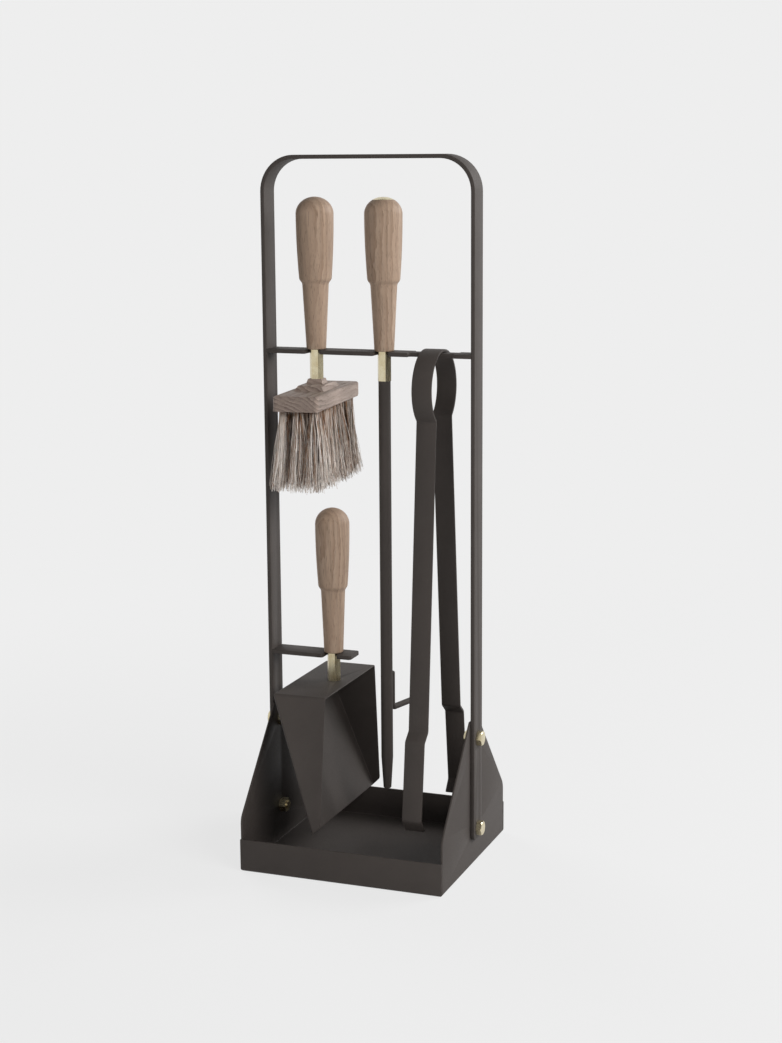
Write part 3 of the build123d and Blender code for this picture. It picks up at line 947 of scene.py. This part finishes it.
class HEARTH_OT_tongs_strip(bpy.types.Operator):
    """The tongs' strip in two halves, with extra cuts across the neck where a spring would bend"""

    bl_idname = "hearth.tongs_strip"
    bl_label = "Tongs strip"
    bl_options = {"REGISTER", "UNDO"}

    def whole_strip(self, settings, neck):
        """The bow and both legs as one closed strip."""

        def in_seam(vertex):
            return abs(vertex.co.z - neck) < settings.seam

        strip = merged_copy(("tongs_bow", "tongs_front_leg", "tongs_rear_leg"), "tongs_strip")
        bpy.ops.object.mode_set(mode="EDIT")
        bpy.ops.mesh.select_mode(type="FACE")
        select_faces(
            strip, lambda face: abs(face.normal.z) > LEVEL and all(map(in_seam, face.verts))
        )
        bpy.ops.mesh.delete(type="ONLY_FACE")
        bpy.ops.mesh.select_mode(type="VERT")
        select_vertices(strip, in_seam)
        bpy.ops.mesh.remove_doubles(threshold=settings.seam)
        if any(edge.is_boundary for edge in bmesh.from_edit_mesh(strip.data).edges):
            raise RuntimeError("the tongs' strip is open at its neck")
        bpy.ops.object.mode_set(mode="OBJECT")
        return strip

    def half(self, strip, side, settings, neck):
        """Half of the strip, closed at the top of the bow, with cuts where it bends."""
        half = bpy.data.objects.new(f"tongs_strip_{side}", strip.data.copy())
        bpy.context.collection.objects.link(half)
        make_active(half)
        facing = -1.0 if side == "front" else 1.0
        bpy.ops.object.mode_set(mode="EDIT")
        bpy.ops.mesh.select_all(action="SELECT")
        bpy.ops.mesh.bisect(
            plane_co=(0, 0, 0), plane_no=(0, facing, 0), use_fill=True, clear_inner=True, clear_outer=False
        )
        for cut in range(settings.cuts + 1):
            height = neck + settings.flex * (2 * cut / settings.cuts - 1)
            bpy.ops.mesh.select_all(action="SELECT")
            bpy.ops.mesh.bisect(plane_co=(0, 0, height), plane_no=(0, 0, 1), use_fill=False)
        bpy.ops.mesh.select_all(action="SELECT")
        bpy.ops.mesh.normals_make_consistent(inside=False)
        bpy.ops.object.mode_set(mode="OBJECT")
        bpy.ops.object.shade_smooth_by_angle(angle=STRIP_SMOOTH_ANGLE)
        return half

    def execute(self, context):
        settings = context.scene.hearth.tongs
        coat_settings = context.scene.hearth.coat
        coat = made_material("powder_coat", coat_material, coat_settings)
        low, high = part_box("tongs_bow")
        neck = (low.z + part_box("tongs_front_leg")[1].z) / 2
        strip = self.whole_strip(settings, neck)
        ease_edges(strip, coat_settings.edge)
        for side in ("front", "rear"):
            half = self.half(strip, side, settings, neck)
            dress(half, coat)
            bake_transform(half)
            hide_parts("tongs_bow", f"tongs_{side}_leg")
        bpy.data.objects.remove(strip, do_unlink=True)
        return {"FINISHED"}


class HEARTH_OT_stage(bpy.types.Operator):
    """Pale floor, soft lamps, a dark board and the camera"""

    bl_idname = "hearth.stage"
    bl_label = "Stage"
    bl_options = {"REGISTER", "UNDO"}

    def floor(self, settings):
        """A wide pale floor that keeps a soft shadow."""
        deselect()
        bpy.ops.mesh.primitive_plane_add(size=FLOOR_SIZE, location=(0, 0, FLOOR_HEIGHT))
        floor = bpy.context.object
        floor.name = "studio_floor"
        settle(floor)
        material, tree, shader, vector = new_material("studio_floor")
        shader.inputs["Base Color"].default_value = (*settings.backdrop, 1.0)
        shader.inputs["Roughness"].default_value = 0.9
        shader.inputs["Specular IOR Level"].default_value = 0.1
        glow = add_node(tree, "ShaderNodeEmission", (500, 250), None, {"Strength": 1.0})
        glow.inputs["Color"].default_value = (*settings.backdrop, 1.0)
        away = add_node(tree, "ShaderNodeVectorMath", (-200, 300), {"operation": "LENGTH"})
        tree.links.new(vector, away.inputs[0])
        melt = add_node(tree, "ShaderNodeMapRange", (0, 300), {"interpolation_type": "SMOOTHSTEP"})
        tree.links.new(away.outputs["Value"], melt.inputs["Value"])
        melt.inputs["From Min"].default_value = settings.near
        melt.inputs["From Max"].default_value = settings.far
        melt.inputs["To Min"].default_value = FLOOR_GLOW
        glowing = add_math(tree, "MULTIPLY", (350, 450), self.seen_rays(tree), melt.outputs["Result"])
        mix = add_node(tree, "ShaderNodeMixShader", (750, 150))
        tree.links.new(glowing, mix.inputs[0])
        tree.links.new(shader.outputs[0], mix.inputs[1])
        tree.links.new(glow.outputs[0], mix.inputs[2])
        tree.links.new(mix.outputs[0], tree.nodes["Material Output"].inputs["Surface"])
        dress(floor, material)

    def seen_rays(self, tree):
        """One where the eye looks straight, or by way of a mirror or a glass."""
        path = add_node(tree, "ShaderNodeLightPath", (-200, 500))
        direct = add_math(
            tree, "MAXIMUM", (0, 500), path.outputs["Is Camera Ray"], path.outputs["Is Glossy Ray"]
        )
        return add_math(tree, "MAXIMUM", (180, 500), direct, path.outputs["Is Transmission Ray"])

    def world(self, context, settings):
        """Even light from all round, seen as the pale backdrop."""
        world = bpy.data.worlds.new("studio")
        world.use_nodes = True
        tree = world.node_tree
        light = tree.nodes["Background"]
        light.inputs["Color"].default_value = (1.0, 1.0, 1.0, 1.0)
        light.inputs["Strength"].default_value = settings.ambient
        shown = add_node(tree, "ShaderNodeBackground", (0, -200))
        shown.inputs["Color"].default_value = (*settings.backdrop, 1.0)
        shown.inputs["Strength"].default_value = 1.0
        mix = add_node(tree, "ShaderNodeMixShader", (300, 0))
        tree.links.new(self.seen_rays(tree), mix.inputs[0])
        tree.links.new(light.outputs[0], mix.inputs[1])
        tree.links.new(shown.outputs[0], mix.inputs[2])
        tree.links.new(mix.outputs[0], tree.nodes["World Output"].inputs["Surface"])
        context.scene.world = world

    def lamp(self, name, place, aim, power, size, mirrored):
        """A soft lamp of that size that faces the aim, and shows in gloss only if it is mirrored."""
        deselect()
        bpy.ops.object.light_add(type="AREA", location=place)
        lamp = bpy.context.object
        lamp.name = name
        lamp.data.energy = power
        lamp.data.shape = "RECTANGLE"
        lamp.data.size, lamp.data.size_y = size
        lamp.rotation_euler = (Vector(aim) - Vector(place)).to_track_quat("-Z", "Y").to_euler()
        lamp.visible_glossy = mirrored

    def flag(self):
        """A dark board upright on the right, which shows only where a glossy surface mirrors it."""
        deselect()
        bpy.ops.mesh.primitive_plane_add(
            size=1.0, location=FLAG_PLACE, rotation=(0.0, math.radians(90), 0.0), scale=FLAG_SIZE
        )
        board = bpy.context.object
        board.name = "dark_flag"
        settle(board)
        for rays in ("camera", "diffuse", "transmission", "shadow"):
            setattr(board, f"visible_{rays}", False)
        material, _, shader, _ = new_material("flag_cloth")
        shader.inputs["Base Color"].default_value = (0.02, 0.02, 0.02, 1.0)
        shader.inputs["Roughness"].default_value = 0.9
        dress(board, material)

    def camera(self, context, settings):
        """Camera at the fitted place, with its small roll."""
        deselect()
        bpy.ops.object.camera_add(location=settings.eye)
        camera = bpy.context.object
        ahead = (Vector(settings.aim) - Vector(settings.eye)).normalized()
        right = ahead.cross(Vector((0, 0, 1))).normalized()
        up = right.cross(ahead)
        leant_right = math.cos(settings.roll) * right + math.sin(settings.roll) * up
        leant_up = math.cos(settings.roll) * up - math.sin(settings.roll) * right
        turned = Matrix((leant_right, leant_up, -ahead)).transposed()
        camera.matrix_world = Matrix.Translation(Vector(settings.eye)) @ turned.to_4x4()
        camera.data.sensor_fit = "HORIZONTAL"
        camera.data.sensor_width = SENSOR_WIDTH
        camera.data.lens = settings.lens
        camera.data.clip_end = FAR_CLIP
        context.scene.camera = camera

    def execute(self, context):
        settings = context.scene.hearth.stage
        context.scene.view_settings.view_transform = "Standard"
        self.floor(settings)
        self.world(context, settings)
        for name, (place, aim, size, mirrored) in LAMPS.items():
            self.lamp(f"{name}_lamp", place, aim, getattr(settings, name), size, mirrored)
        self.flag()
        self.camera(context, settings)
        return {"FINISHED"}


class HEARTH_PT_panel(bpy.types.Panel):
    """Steps of the tool set in the sidebar"""

    bl_idname = "HEARTH_PT_panel"
    bl_label = "Hearth Tool Set"
    bl_space_type = "VIEW_3D"
    bl_region_type = "UI"
    bl_category = "Hearth"

    def draw(self, context):
        column = self.layout.column()
        for operator in OPERATORS:
            column.operator(operator.bl_idname)


SETTINGS = (
    HearthCoatSettings,
    HearthBrassSettings,
    HearthWoodSettings,
    HearthBrushSettings,
    HearthTongsSettings,
    HearthStageSettings,
    HearthSettings,
)
OPERATORS = (
    HEARTH_OT_coated_steel,
    HEARTH_OT_brass_fittings,
    HEARTH_OT_wooden_parts,
    HEARTH_OT_brush_bristles,
    HEARTH_OT_tongs_strip,
    HEARTH_OT_stage,
)


def register():
    for item in (*SETTINGS, *OPERATORS, HEARTH_PT_panel):
        bpy.utils.register_class(item)
    bpy.types.Scene.hearth = PointerProperty(type=HearthSettings)


def unregister():
    del bpy.types.Scene.hearth
    for item in reversed((*SETTINGS, *OPERATORS, HEARTH_PT_panel)):
        bpy.utils.unregister_class(item)


def main():
    register()
    bpy.ops.hearth.coated_steel()
    bpy.ops.hearth.brass_fittings()
    bpy.ops.hearth.wooden_parts()
    bpy.ops.hearth.brush_bristles()
    bpy.ops.hearth.tongs_strip()
    bpy.ops.hearth.stage()


if __name__ == "__main__":
    main()
